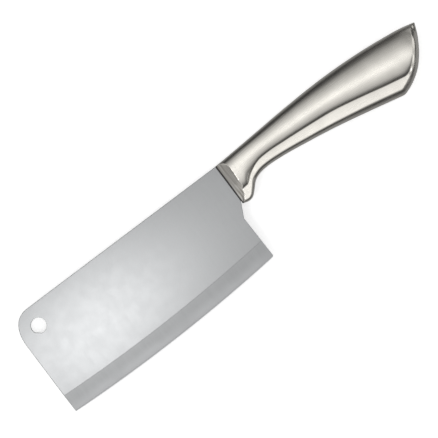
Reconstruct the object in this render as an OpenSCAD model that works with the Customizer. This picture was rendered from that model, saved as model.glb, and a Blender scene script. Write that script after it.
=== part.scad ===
// Kitchen cleaver with a broad plate blade and a hollow, welded steel handle.
// It lies on its side: +X runs from the front edge to the butt, +Y to the spine, +Z out of the left face.
// The origin is the centre of the hang hole, in the middle of the blade's thickness.

/* [Blade] */
// Length of the blade from its front edge to the bolster
blade_l = 152.4; // [120:0.2:200]
// Height of the blade from its spine to the lowest point of its cutting edge
blade_h = 67.2; // [58:0.2:100]
// Thickness of the blade plate
blade_t = 2.5; // [1.8:0.1:4]
// Radius of the long curve of the cutting edge
edge_r = 1015; // [700:5:2500]
// Distance from the front edge to the lowest point of the cutting edge
edge_low = 54.2; // [30:0.2:90]
// Length of the rounded front top corner along the spine
corner_l = 13.6; // [6:0.2:20]
// Height of the rounded front top corner down the front edge
corner_h = 18; // [8:0.5:26]
// Radius that takes the point off the heel
heel_r = 1; // [0.4:0.1:3]
// Distance by which the heel stands in front of the bolster
heel_setback = 4.2; // [2:0.2:10]
// Distance by which the rear edge leans forward above the heel
heel_lean = 0.6; // [0:0.1:2]
// Height of the blade where it meets the bolster
neck_h = 25; // [20:0.5:27]
// Height of the slanted cut between the neck and the rear edge
choil_h = 9.6; // [5:0.2:14]

/* [Grind] */
// Width of the ground bevel above the cutting edge
bevel_w = 11.7; // [6:0.1:20]
// Thickness of the plate where the bevel meets the fine edge
fine_t = 0.6; // [0.3:0.05:1]
// Width of the fine honed edge
fine_w = 0.9; // [0.4:0.1:2]
// Thickness left at the very edge
edge_t = 0.1; // [0.05:0.01:0.2]

/* [Hang hole] */
// Diameter of the hang hole
hole_d = 9.5; // [6:0.1:14]
// Distance from the front edge to the centre of the hang hole
hole_from_front = 12.9; // [10:0.1:24]
// Distance from the spine to the centre of the hang hole
hole_from_spine = 12.1; // [10:0.1:24]

/* [Tang] */
// Length of the stub tang behind the blade
tang_l = 26; // [20:0.5:40]
// Height of the stub tang
tang_h = 11; // [8:0.5:13]
// Depth ground off each face of the tang, which leaves a shoulder on the blade
tang_step = 0.15; // [0.1:0.05:0.4]
// Clearance between the tang and its slot, on each side
tang_gap = 0.1; // [0.05:0.05:0.2]
// Leg of the fillet weld between the tang and the bolster
fillet_leg = 2.2; // [1.2:0.1:3.5]

/* [Handle] */
// Length of the handle from the blade to its point
handle_l = 144.6; // [120:0.2:170]
// Height of the handle from the top of its arch to the corner of its butt
handle_h = 38; // [34:0.5:46]
// Greatest thickness of the handle
handle_t = 22; // [18:0.5:28]
// Thickness of the pressed sheet
wall = 1.2; // [0.8:0.1:1.6]
// Width of the weld run that joins the two shells
seam_w = 1; // [0.6:0.1:1.6]
// Greatest width of the rounded underside, seen from the side
under_w = 2.85; // [1:0.05:4]
// Width of the shoulder between the flank and the underside, along the butt
shoulder_w = 1.9; // [0.5:0.1:3]
// Length of solid metal behind the point of the handle
point_l = 4; // [3:0.5:6]

/* [Bolster] */
// Length of the bolster in front of the shells
bolster_l = 8.5; // [7:0.1:12]
// Angle of the ground ramp against the blade
ramp_angle = 40; // [30:1:50]
// Height of the bolster's front edge above the face of the blade
ramp_step = 0.3; // [0.1:0.1:1]
// Angle at which the front wall of the finger guard rises from the ramp
guard_angle = 70; // [55:1:80]
// Angle that the wall of the guard leans towards the butt, seen from the side
guard_lean = 33; // [20:0.5:45]
// Height below the spine at which the ramp starts to flatten towards the guard
ramp_turn = 15; // [10:0.5:20]
// Height over which the ramp flattens
ramp_turn_h = 6; // [3:0.5:10]
// Length of the spigot that the shells slide over
spigot_l = 6; // [4:0.5:9]
// Clearance between the spigot and the shells
spigot_gap = 0.3; // [0.2:0.05:0.5]
// Length of the weld ring between the bolster and the shells
ring_l = 1; // [0.6:0.1:1.6]

/* [Hidden] */
// Overrun of a cut past the surface that it leaves
over = 1;

front_x = -hole_from_front;
spine_y = hole_from_spine;
seam_x = front_x + blade_l;
edge_centre = [front_x + edge_low, spine_y - blade_h + edge_r];

// Rounded front corner of the blade, between a circle (2) and a square corner
corner_power = 2.3;
corner_steps = 14;
heel_steps = 6;

// Lines along the handle: share of handle_l from the blade, then share of handle_h above the spine
arch_shares = [[0, 0.003], [0.07, 0.016], [0.2, 0.045], [0.36, 0.082], [0.57, 0.104],
               [0.72, 0.084], [0.85, 0.039], [0.95, -0.016], [1, -0.062]];
belly_shares = [[0, -0.71], [0.018, -0.732], [0.036, -0.738], [0.052, -0.716], [0.07, -0.655],
                [0.1, -0.545], [0.133, -0.495], [0.18, -0.479], [0.235, -0.491], [0.36, -0.554],
                [0.49, -0.634], [0.62, -0.735], [0.797, -0.882]];
butt_shares = [[0.797, -0.882], [0.85, -0.8], [0.915, -0.616], [0.961, -0.389], [0.988, -0.203],
               [1, -0.09]];
crown_shares = [[0, -0.2], [0.06, -0.19], [0.176, -0.17], [0.28, -0.178], [0.4, -0.195],
                [0.52, -0.217], [0.647, -0.272], [0.764, -0.342], [0.85, -0.395],
                [0.92, -0.43], [1, -0.47]];
valley_shares = [[0, -0.525], [0.04, -0.525], [0.069, -0.5], [0.079, -0.468], [0.095, -0.42],
                 [0.118, -0.37], [0.158, -0.316], [0.2, -0.304], [0.28, -0.32], [0.4, -0.356],
                 [0.52, -0.404], [0.65, -0.502], [0.77, -0.602], [0.85, -0.655], [1, -0.66]];
// Half thickness at the crown, as a share of half of handle_t
girth_shares = [[0, 0.63], [0.06, 0.64], [0.18, 0.69], [0.35, 0.8], [0.52, 0.89], [0.7, 0.96],
                [0.85, 1], [0.93, 0.985], [0.965, 0.94], [0.99, 0.84], [1, 0.74]];
// Fall from the crown to the valley, as a share of the distance between them
fall_shares = [[0, 0.11], [0.074, 0.11], [0.115, 0.19], [0.2, 0.23], [0.28, 0.24], [0.4, 0.235],
               [0.52, 0.215], [0.65, 0.2], [0.82, 0.2], [0.86, 0.19], [0.89, 0.1], [0.92, 0.03], [1, 0.03]];
// Extra fall in the crease above the valley, as a share of the fall, and its power
crease_shares = [[0, 1.2], [0.08, 1.2], [0.13, 0.65], [0.2, 0.6], [0.3, 0.6], [1, 0.6]];
crease_power = 6;
// Tilt of the lower flank below the valley, and how much of it dies out towards the rim
tilt_shares = [[0, 0], [0.1, 0.02], [0.2, 0.1], [0.3, 0.1], [1, 0.1]];
tilt_loss_share = 0.45;
// How square the upper flank turns into the spine: 2 is an ellipse
spine_powers = [[0, 2.4], [0.05, 2.6], [0.115, 2.8], [0.18, 2.65], [0.28, 2.6], [0.4, 2.5],
                [0.52, 2.3], [0.76, 2.3], [1, 2.4]];
// Width of the underside, as a share of under_w
under_shares = [[0, 0.35], [0.06, 0.4], [0.12, 0.6], [0.2, 0.64], [0.35, 0.72], [0.52, 0.86],
                [0.65, 1.05], [0.8, 1.1], [0.9, 1.12], [0.94, 1.08], [0.965, 0.95], [0.985, 0.65],
                [1, 0.3]];
// How much of the ramp's slope is lost next to the guard
ramp_loss_share = 0.4;
ramp_rows = 4;
// Where the belly ends in the corner of the butt, and where the handle is slimmest
corner_share = 0.797;
neck_share = 0.18;
grip_share = 0.16;

bolster_share = bolster_l / handle_l;
shell_share = (bolster_l + ring_l) / handle_l;
spigot_share = (bolster_l + spigot_l) / handle_l;
hollow_share = 1 - point_l / handle_l;

// Rows across half a section: upper flank, lower flank, underside
flank_rows = 12;
lower_rows = 2;
under_rows = 4;
rows = flank_rows + lower_rows + under_rows + 1;
// Most of a section's height that the underside and the shoulder may take near the point
under_cap_share = 0.5;
shoulder_cap_share = 0.3;

// Stations along the shells: finger hollow, belly, butt
hollow_steps = 8;
belly_steps = 18;
butt_steps = 14;
shell_stations = concat(
    [for (i = [0 : hollow_steps - 1]) mix(shell_share, grip_share, i / hollow_steps)],
    [for (i = [0 : belly_steps - 1]) mix(grip_share, corner_share, i / belly_steps)],
    [for (i = [0 : butt_steps]) mix(corner_share, 1, ease(i / butt_steps))]);
hollow_stations = [for (s = shell_stations)
    s < corner_share ? s : mix(corner_share, hollow_share, (s - corner_share) / (1 - corner_share))];
bolster_steps = 8;
bolster_stations = [for (i = [0 : bolster_steps]) bolster_share * i / bolster_steps];
spigot_steps = 3;
spigot_stations = [for (i = [0 : spigot_steps])
    mix(bolster_share, spigot_share, i / spigot_steps)];

function mix(a, b, t) = a + (b - a) * t;
function ease(t) = 1 - pow(1 - t, 1.5);
function ease_both(t) = t * t * (3 - 2 * t);

// Smooth curve through the rows of a table, read at share s
function span(table, s) = max([for (i = [0 : len(table) - 2]) if (i == 0 || table[i][0] <= s) i]);
function rise(table, i) = (table[i + 1][1] - table[i][1]) / (table[i + 1][0] - table[i][0]);
function lean(table, i) =
    i == 0 ? rise(table, 0) :
    i == len(table) - 1 ? rise(table, i - 1) :
    let (before = table[i][0] - table[i - 1][0], after = table[i + 1][0] - table[i][0])
    (rise(table, i - 1) * after + rise(table, i) * before) / (before + after);
function curve(table, s) =
    let (i = span(table, s), w = table[i + 1][0] - table[i][0], t = (s - table[i][0]) / w)
    (2 * t * t * t - 3 * t * t + 1) * table[i][1] + (t * t * t - 2 * t * t + t) * w * lean(table, i)
    + (3 * t * t - 2 * t * t * t) * table[i + 1][1] + (t * t * t - t * t) * w * lean(table, i + 1);

// Heights above the hang hole of the lines along the handle
function arch_y(s) = spine_y + handle_h * curve(arch_shares, s);
function belly_y(s) = spine_y + handle_h * curve(s < corner_share ? belly_shares : butt_shares, s);
function crown_y(s) = spine_y + handle_h * curve(crown_shares, s);
function valley_y(s) = spine_y + handle_h * curve(valley_shares, s);

// The tang lies in the middle of the handle where that is slimmest
tang_y = (arch_y(neck_share) + belly_y(neck_share)) / 2;
tang_t = blade_t - 2 * tang_step;

// Length of a slanted step of the lower outline for one step straight up
slope_step_share = 0.004;
function slant(s) =
    let (low = max(s - slope_step_share, 0), high = min(s + slope_step_share, 1))
    norm([1, (belly_y(high) - belly_y(low)) / (handle_l * (high - low))]);

// Height of the flank above the mid-plane, on a section with its own top, crown and valley
function flank_z(s, y, top, valley, inset) =
    let (crown = crown_y(s), girth = handle_t / 2 * curve(girth_shares, s) - inset,
         power = curve(spine_powers, s), foot = seam_w / 2,
         fall = curve(fall_shares, s) * (crown - valley), down = (crown - y) / (crown - valley))
    y > crown ?
        foot + (girth - foot) * pow(max(1 - pow((y - crown) / (top - crown), power), 0), 1 / power) :
        girth - fall * pow(down, 2) * (1 + curve(crease_shares, s) * pow(down, crease_power));

// Half a section from the spine to the belly, as points [x, y, z], set in by a distance
function half_section(s, inset = 0) =
    let (x = seam_x + handle_l * s, k = slant(s), foot = seam_w / 2,
         top = arch_y(s) - inset, bottom = belly_y(s) + inset * k, height = top - bottom,
         rim = bottom + min(under_w * curve(under_shares, s) * k, under_cap_share * height),
         valley = max(valley_y(s), rim + min(shoulder_w * k, shoulder_cap_share * height)),
         valley_z = flank_z(s, valley, top, valley, inset),
         fall = curve(tilt_shares, s) * (valley - rim),
         rim_z = valley_z - fall * (1 - tilt_loss_share))
    concat(
        [for (i = [0 : flank_rows])
            let (y = mix(top, valley, ease_both(i / flank_rows)))
            [x, y, flank_z(s, y, top, valley, inset)]],
        [for (i = [1 : lower_rows])
            let (t = i / lower_rows)
            [x, mix(valley, rim, t), valley_z - fall * (t - tilt_loss_share * t * t)]],
        [for (i = [1 : under_rows])
            let (t = 1 - i / under_rows)
            [x, mix(bottom, rim, t * t), mix(foot, rim_z, t)]]);

// Closed loop of a whole section: down the left side and back up the right side
function loop(s, inset = 0) =
    let (half = half_section(s, inset))
    concat(half, [for (i = [rows - 1 : -1 : 0]) [half[i][0], half[i][1], -half[i][2]]]);

// Triangles of the skin between rows of points: n points to a row, starting at point base
function skin(count, n, base, turned) = [for (k = [0 : count - 2]) for (i = [0 : n - 2])
    let (a = base + k * n + i, b = a + 1, c = a + n + 1, d = a + n)
    each turned ? [[a, b, c], [a, c, d]] : [[a, c, b], [a, d, c]]];
// The strip between the points listed in two equal lists
function strip(a, b, turned) = [for (i = [0 : len(a) - 2])
    each turned ? [[a[i], a[i + 1], b[i + 1]], [a[i], b[i + 1], b[i]]]
                : [[a[i], b[i + 1], a[i + 1]], [a[i], b[i], b[i + 1]]]];
function fan(list, turned) = [for (i = [1 : len(list) - 2])
    turned ? [list[0], list[i], list[i + 1]] : [list[0], list[i + 1], list[i]]];
function count_up(first, step, n) = [for (i = [0 : n - 1]) first + i * step];

module blade_outline() {
    neck_y = spine_y - neck_h;
    rear_y = neck_y - choil_h;
    heel_x = seam_x - heel_setback;
    heel_y = edge_y(heel_x);
    polygon(concat(
        [for (i = [0 : corner_steps])
            let (a = 180 - 90 * i / corner_steps)
            [front_x + corner_l + corner_l * sign_power(cos(a)),
             spine_y - corner_h + corner_h * sign_power(sin(a))]],
        [[seam_x, spine_y], [seam_x, neck_y], [heel_x - heel_lean, rear_y]],
        [for (i = [0 : heel_steps])
            let (a = -90 * i / heel_steps)
            [heel_x - heel_r + heel_r * cos(a), heel_y + heel_r + heel_r * sin(a)]],
        [[heel_x - heel_r, spine_y - blade_h - over], [front_x, spine_y - blade_h - over]]));
}

function sign_power(v) = sign(v) * pow(abs(v), 2 / corner_power);
function edge_y(x) = edge_centre[1] - sqrt(edge_r * edge_r - pow(x - edge_centre[0], 2));

// Everything beyond the cutting edge and outside the bevels, as a ring about the edge's centre
module grind_ring() {
    half = blade_t / 2;
    translate([edge_centre[0], edge_centre[1], 0])
        rotate_extrude($fn = 720)
            polygon([[edge_r - bevel_w, half], [edge_r - fine_w, fine_t / 2], [edge_r, edge_t / 2],
                     [edge_r, -edge_t / 2], [edge_r - fine_w, -fine_t / 2],
                     [edge_r - bevel_w, -half], [edge_r - bevel_w, -half - over],
                     [edge_r + blade_h, -half - over], [edge_r + blade_h, half + over],
                     [edge_r - bevel_w, half + over]]);
}

module blade() {
    color([0.74, 0.75, 0.76]) {
        difference() {
            linear_extrude(height = blade_t, center = true)
                blade_outline();
            grind_ring();
            cylinder(h = blade_t + 2 * over, d = hole_d, center = true, $fn = 96);
        }
        translate([seam_x - over, tang_y - tang_h / 2, -tang_t / 2])
            cube([tang_l + over, tang_h, tang_t]);
    }
}

// Slope of the ramp at a depth below the spine
function ramp_slope(depth) =
    tan(ramp_angle) * (1 - ramp_loss_share * min(max((depth - ramp_turn) / ramp_turn_h, 0), 1));

// Solid metal that fills one side above the ground ramp
module ramp_cut() {
    low = blade_t / 2 + ramp_step;
    high = low + handle_t;
    end_x = seam_x + 2 * bolster_l;
    depths = concat([-handle_h], [for (i = [0 : ramp_rows]) ramp_turn + ramp_turn_h * i / ramp_rows],
                    [handle_h + over]);
    points = [for (d = depths)
        let (y = spine_y - d, m = ramp_slope(d))
        each [[seam_x - over, y, low - over * m], [end_x, y, low + 2 * bolster_l * m],
              [end_x, y, high], [seam_x - over, y, high]]];
    last = len(points) - 4;
    sides = [for (k = [0 : len(depths) - 2]) for (i = [0 : 3])
        let (a = 4 * k + i, b = 4 * k + (i + 1) % 4)
        each [[a, b + 4, b], [a, a + 4, b + 4]]];
    polyhedron(points = points, convexity = 4,
               faces = concat(sides, fan([0, 1, 2, 3], true),
                              fan([last, last + 1, last + 2, last + 3], false)));
}

// Metal in front of the leaning wall of the guard, where the ramp is ground
module guard_cut() {
    translate([seam_x, belly_y(0), blade_t / 2 + ramp_step])
        rotate([0, -guard_angle, -guard_lean])
            translate([-handle_h, -2 * handle_h, 0])
                cube([3 * handle_h, 4 * handle_h, handle_h]);
}

// Metal that is ground away from one side of the bolster
module ground_metal() {
    intersection() {
        ramp_cut();
        guard_cut();
    }
}

module bolster() {
    front = len(bolster_stations);
    back = len(spigot_stations);
    n = 2 * rows;
    inset = wall + spigot_gap;
    points = concat(
        [for (s = bolster_stations) each loop(s)],
        [for (s = spigot_stations) each loop(s, inset)]);
    ends = [0, (front + back - 1) * n];
    sides = [for (k = [0 : front + back - 2]) for (i = [0 : n - 1])
        let (a = k * n + i, b = k * n + (i + 1) % n)
        each [[a, b + n, b], [a, a + n, b + n]]];
    caps = concat(
        strip(count_up(ends[0], 1, rows), count_up(ends[0] + n - 1, -1, rows), true),
        strip(count_up(ends[1], 1, rows), count_up(ends[1] + n - 1, -1, rows), false));
    color([0.6, 0.58, 0.55])
        difference() {
            polyhedron(points = points, faces = concat(sides, caps), convexity = 6);
            ground_metal();
            mirror([0, 0, 1])
                ground_metal();
            translate([seam_x - over, tang_y - tang_h / 2 - tang_gap, -tang_t / 2 - tang_gap])
                cube([bolster_l + spigot_l + 2 * over, tang_h + 2 * tang_gap,
                      tang_t + 2 * tang_gap]);
        }
}

// Weld ring between the bolster's shoulder and the front edges of the shells
module bolster_weld() {
    n = 2 * rows;
    points = concat(loop(bolster_share), loop(shell_share),
                    loop(bolster_share, wall), loop(shell_share, wall));
    faces = [for (i = [0 : n - 1])
        let (j = (i + 1) % n)
        each [[i, j + n, j], [i, i + n, j + n],
              [i + 2 * n, j + 2 * n, j + 3 * n], [i + 2 * n, j + 3 * n, i + 3 * n],
              [i, j, j + 2 * n], [i, j + 2 * n, i + 2 * n],
              [i + n, j + 3 * n, j + n], [i + n, i + 3 * n, j + 3 * n]]];
    color([0.78, 0.76, 0.73])
        polyhedron(points = points, faces = faces, convexity = 4);
}

// One pressed half of the handle, open towards the mid-plane
module shell() {
    count = len(shell_stations);
    inner = count * rows;
    points = concat(
        [for (s = shell_stations) each half_section(s)],
        [for (s = hollow_stations) each half_section(s, wall)]);
    last = (count - 1) * rows;
    faces = concat(
        skin(count, rows, 0, false),
        skin(count, rows, inner, true),
        strip(count_up(0, 1, rows), count_up(inner, 1, rows), true),
        strip(count_up(0, rows, count), count_up(inner, rows, count), false),
        strip(count_up(rows - 1, rows, count), count_up(inner + rows - 1, rows, count), true),
        fan(count_up(last, 1, rows), false),
        fan(count_up(inner + last, 1, rows), true),
        strip([last, last + rows - 1], [inner + last, inner + last + rows - 1], false));
    polyhedron(points = points, faces = faces, convexity = 6);
}

module handle_shell_left() {
    color([0.82, 0.8, 0.77])
        shell();
}

module handle_shell_right() {
    color([0.82, 0.8, 0.77])
        mirror([0, 0, 1])
            shell();
}

// Outline of the handle behind the weld ring, set in by a distance, as points [x, y]
function side_outline(stations, inset) = concat(
    [for (s = stations) let (p = half_section(s, inset)[0]) [p[0], p[1]]],
    [for (i = [len(stations) - 1 : -1 : 0])
        let (p = half_section(stations[i], inset)[rows - 1])
        [p[0], p[1]]]);

// Weld run round the spine, the butt and the belly, ground flush
module seam_weld() {
    outer = side_outline(shell_stations, 0);
    inner = side_outline(hollow_stations, wall);
    color([0.78, 0.76, 0.73])
        linear_extrude(height = seam_w, center = true)
            polygon(concat(outer, [for (i = [len(inner) - 1 : -1 : 0]) inner[i]]));
}

// Two fillet runs behind the spigot, one on each side of the tang
module tang_weld() {
    color([0.45, 0.42, 0.4])
        for (side = [0, 1])
            mirror([0, 0, side])
                translate([seam_x + bolster_l + spigot_l, tang_y + tang_h / 2, tang_t / 2])
                    rotate([90, 0, 0])
                        linear_extrude(height = tang_h)
                            intersection() {
                                circle(r = fillet_leg, $fn = 48);
                                square(fillet_leg);
                            }
}

blade();
bolster();
bolster_weld();
handle_shell_left();
handle_shell_right();
seam_weld();
tang_weld();
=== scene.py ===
"""Kitchen cleaver lying on its side: smooth steel surfaces with ground finishes, one for each
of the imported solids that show.

Sizes are worked out in millimetres and become metres when a mesh is made.
+X runs from the front edge to the butt, +Y to the spine, +Z out of the left face.
"""
import math

import bpy
import numpy as np
from mathutils import Matrix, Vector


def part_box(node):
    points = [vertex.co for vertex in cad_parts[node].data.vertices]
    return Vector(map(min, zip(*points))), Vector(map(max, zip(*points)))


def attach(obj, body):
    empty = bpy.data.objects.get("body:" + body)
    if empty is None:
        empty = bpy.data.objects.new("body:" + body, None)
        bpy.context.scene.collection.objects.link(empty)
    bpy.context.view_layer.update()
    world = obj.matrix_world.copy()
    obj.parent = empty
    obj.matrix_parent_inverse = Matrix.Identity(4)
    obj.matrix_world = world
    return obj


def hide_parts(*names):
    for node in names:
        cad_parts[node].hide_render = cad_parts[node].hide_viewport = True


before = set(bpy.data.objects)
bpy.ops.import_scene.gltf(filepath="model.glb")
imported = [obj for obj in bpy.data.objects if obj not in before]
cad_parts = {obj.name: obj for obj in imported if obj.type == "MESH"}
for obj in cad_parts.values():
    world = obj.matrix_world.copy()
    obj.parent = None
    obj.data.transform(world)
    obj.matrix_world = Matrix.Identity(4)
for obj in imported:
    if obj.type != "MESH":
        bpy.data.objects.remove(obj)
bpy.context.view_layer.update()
MM = 0.001

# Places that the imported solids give
blade_low, blade_high = [np.array(corner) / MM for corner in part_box("blade")]
bolster_low = np.array(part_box("bolster")[0]) / MM
shell_high = np.array(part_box("handle_shell_left")[1]) / MM
FRONT_X = blade_low[0]
SPINE_Y = blade_high[1]
SEAM_X = bolster_low[0]
HANDLE_L = shell_high[0] - SEAM_X
HALF_T = shell_high[2]

# Blade
BLADE_T = 2.5
# Radius of the cutting edge, and how far behind the front its lowest point lies
EDGE_R, EDGE_LOWEST = 1015.0, 54.2
EDGE_CENTRE = np.array([FRONT_X + EDGE_LOWEST, blade_low[1] + EDGE_R])
CORNER_L, CORNER_H, CORNER_POWER = 13.6, 18.0, 2.3
HEEL_R, HEEL_SETBACK, HEEL_LEAN = 1.0, 4.2, 0.6
NECK_H, CHOIL_H = 25.0, 9.6
BEVEL_W, FINE_W, FINE_T, EDGE_T = 11.7, 0.9, 0.6, 0.1
HOLE_R = 4.75
BLADE_ROUND = 0.25
HOLE_ROUND = 0.12
TANG_L, TANG_H, TANG_T = 26.0, 11.0, 2.2
# Most of the half thickness that the rounding of the sides may take
THIN_SHARE = 0.8
EDGE_ROWS = 6
HEEL_POINTS, CORNER_POINTS, SPINE_POINTS, EDGE_POINTS = 9, 30, 60, 90

# Handle
HANDLE_H = 38.0
WALL = 1.2
SEAM_W = 1.0
UNDER_W = 2.85
SHOULDER_W = 1.9
POINT_L = 4.0
BOLSTER_L = 8.5
RING_L = 1.0
SPIGOT_L, SPIGOT_GAP = 6.0, 0.3
RAMP_SLOPE = math.tan(math.radians(40))
RAMP_STEP = 0.3
GUARD_SLOPE = math.tan(math.radians(70))
GUARD_LEAN = math.radians(33)
# Height under the spine at which the ramp starts to flatten, height of that and its share
RAMP_TURN, RAMP_TURN_H, RAMP_EASE = 15.0, 6.0, 0.4
# Rounding of the valley, the rim, the butt corner and the ramp's edge, on each side of the line
VALLEY_ROUND = 0.35
RIM_ROUND = 0.8
CORNER_ROUND = 1.7
RAMP_ROUND = 0.15
# Height over which the valley runs into the shoulder of the butt
VALLEY_BLEND = 1.5
# Most that these may take up: of the section's height the underside, the shoulder and that
# blend; of the lower flank the valley's and the rim's rounding; of the upper flank the
# valley's; of the underside the rim's
UNDER_MOST, SHOULDER_MOST, BLEND_MOST = 0.5, 0.3, 0.2
VALLEY_MOST, RIM_MOST = 0.3, 0.6
UPPER_MOST = 0.5
BRINK_MOST = 0.4
# Reach of the rim's rounding into the underside, as a multiple of that into the lower flank
BRINK_REACH = 1.4
# Power by which the fall steepens in the crease, and share of the tilt that dies out at the rim
CREASE_POWER, TILT_FADE = 6, 0.45
SEAM_CROWN = 0.03

# Lines along the handle: share of its length from the blade, share of its height above the spine
ARCH = [[0, 0.003], [0.07, 0.016], [0.2, 0.045], [0.36, 0.082], [0.57, 0.104], [0.72, 0.084],
        [0.85, 0.039], [0.95, -0.016], [1, -0.062]]
BELLY = [[0, -0.71], [0.018, -0.732], [0.036, -0.738], [0.052, -0.716], [0.07, -0.655],
         [0.1, -0.545], [0.133, -0.495], [0.18, -0.479], [0.235, -0.491], [0.36, -0.554],
         [0.49, -0.634], [0.62, -0.735], [0.797, -0.882]]
BUTT = [[0.797, -0.882], [0.85, -0.8], [0.915, -0.616], [0.961, -0.389], [0.988, -0.203],
        [1, -0.09]]
CROWN = [[0, -0.2], [0.06, -0.19], [0.176, -0.17], [0.28, -0.178], [0.4, -0.195],
         [0.52, -0.217], [0.647, -0.272], [0.764, -0.342], [0.85, -0.395], [0.92, -0.43],
         [1, -0.47]]
VALLEY = [[0, -0.525], [0.04, -0.525], [0.069, -0.5], [0.079, -0.468], [0.095, -0.42],
          [0.118, -0.37], [0.158, -0.316], [0.2, -0.304], [0.28, -0.32], [0.4, -0.356],
          [0.52, -0.404], [0.65, -0.502], [0.77, -0.602], [0.85, -0.655], [1, -0.66]]
# Half thickness, fall to the valley and its extra share in the crease, tilt below the valley,
# squareness of the spine and width of the rounded underside
GIRTH = [[0, 0.63], [0.06, 0.64], [0.18, 0.69], [0.35, 0.8], [0.52, 0.89], [0.7, 0.96],
         [0.85, 1], [0.93, 0.985], [0.965, 0.94], [0.99, 0.84], [1, 0.74]]
FALL = [[0, 0.11], [0.074, 0.11], [0.115, 0.19], [0.2, 0.23], [0.28, 0.24], [0.4, 0.235],
        [0.52, 0.215], [0.65, 0.2], [0.82, 0.2], [0.86, 0.19], [0.89, 0.1], [0.92, 0.03],
        [1, 0.03]]
CREASE = [[0, 1.2], [0.08, 1.2], [0.13, 0.65], [0.2, 0.6], [0.3, 0.6], [1, 0.6]]
TILT = [[0, 0], [0.1, 0.02], [0.2, 0.1], [0.3, 0.1], [1, 0.1]]
SQUARENESS = [[0, 2.4], [0.05, 2.6], [0.115, 2.8], [0.18, 2.65], [0.28, 2.6], [0.4, 2.5],
              [0.52, 2.3], [0.76, 2.3], [1, 2.4]]
UNDER = [[0, 0.35], [0.06, 0.4], [0.12, 0.6], [0.2, 0.64], [0.35, 0.72], [0.52, 0.86],
         [0.65, 1.05], [0.8, 1.1], [0.9, 1.12], [0.94, 1.08], [0.965, 0.95], [0.985, 0.65],
         [1, 0.3]]
CORNER_SHARE = 0.797
# Where the handle is slimmest, and half the step over which a slope is taken
NECK_SHARE = 0.18
SLANT_STEP = 0.004

bolster_share = BOLSTER_L / HANDLE_L
shell_share = (BOLSTER_L + RING_L) / HANDLE_L
spigot_share = (BOLSTER_L + SPIGOT_L) / HANDLE_L
hollow_share = 1 - POINT_L / HANDLE_L

# Rows across half a section: upper flank, valley, lower flank, rim, underside
UPPER_ROWS, VALLEY_ROWS, LOWER_ROWS, RIM_ROWS, UNDER_ROWS = 48, 8, 6, 10, 12
ROWS = UPPER_ROWS + VALLEY_ROWS + LOWER_ROWS + RIM_ROWS + UNDER_ROWS + 1
SHELL_STATIONS, RING_STATIONS, BOLSTER_STATIONS, SPIGOT_STATIONS = 230, 5, 72, 4
SEAM_ROWS = 7
FINE_STEPS = 4000
SHARP_ANGLE = math.radians(38)


def curve(table, s):
    """Smooth curve through the rows of a table: a cubic between neighbours, whose slope at a row
    is the mean of the slopes on both sides, weighted towards the shorter side."""
    x, y = np.array(table, float).T
    s = np.clip(s, x[0], x[-1])
    gap = np.diff(x)
    rise = np.diff(y) / gap
    inner = (rise[:-1] * gap[1:] + rise[1:] * gap[:-1]) / (gap[:-1] + gap[1:])
    slope = np.concatenate([rise[:1], inner, rise[-1:]])
    i = np.clip(np.searchsorted(x, s, side="right") - 1, 0, len(x) - 2)
    t = (s - x[i]) / gap[i]
    return ((2 * t**3 - 3 * t**2 + 1) * y[i] + (t**3 - 2 * t**2 + t) * gap[i] * slope[i]
            + (3 * t**2 - 2 * t**3) * y[i + 1] + (t**3 - t**2) * gap[i] * slope[i + 1])


def parabola(a, corner, b, t):
    """Rounded corner: the parabola from a to b whose end tangents meet in the corner."""
    return (1 - t)**2 * a + 2 * t * (1 - t) * corner + t**2 * b


def soft_max(a, b, width):
    """The larger of a and b, with a parabola where they are closer than the width."""
    return np.maximum(a, b) + np.maximum(width - np.abs(a - b), 0)**2 / (4 * width)


def line_y(table, s):
    """Height of a line along the handle at share s."""
    return SPINE_Y + HANDLE_H * curve(table, s)


def lower_y(s):
    """Height of the lower outline: the belly, then the butt, with the corner between them
    rounded by a parabola."""
    reach = CORNER_ROUND / HANDLE_L
    sharp = np.where(s < CORNER_SHARE, line_y(BELLY, s), line_y(BUTT, s))
    t = np.clip((s - CORNER_SHARE) / reach / 2 + 0.5, 0, 1)
    rounded = parabola(line_y(BELLY, CORNER_SHARE - reach), line_y(BELLY, CORNER_SHARE),
                       line_y(BUTT, CORNER_SHARE + reach), t)
    return np.where(np.abs(s - CORNER_SHARE) < reach, rounded, sharp)


def slant(s):
    """Length of a step along the lower outline for one step straight along the handle."""
    low, high = np.maximum(s - SLANT_STEP, 0), np.minimum(s + SLANT_STEP, 1)
    return np.hypot(1, (lower_y(high) - lower_y(low)) / (HANDLE_L * (high - low)))


def flank_z(s, y, top, valley, inset):
    """Height of the flank: a superellipse between spine and crown, and below it a parabola that
    steepens towards the valley."""
    crown = line_y(CROWN, s)
    girth = HALF_T * curve(GIRTH, s) - inset
    power = curve(SQUARENESS, s)
    foot = SEAM_W / 2
    share = np.clip((y - crown) / (top - crown), 0, 1)
    above = foot + (girth - foot) * (1 - share**power)**(1 / power)
    drop = np.maximum(crown - y, 0)
    depth = np.maximum(crown - valley, 1)
    steeper = 1 + curve(CREASE, s) * (drop / depth)**CREASE_POWER
    below = girth - curve(FALL, s) * drop**2 / depth * steeper
    return np.where(y > crown, above, below)


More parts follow.
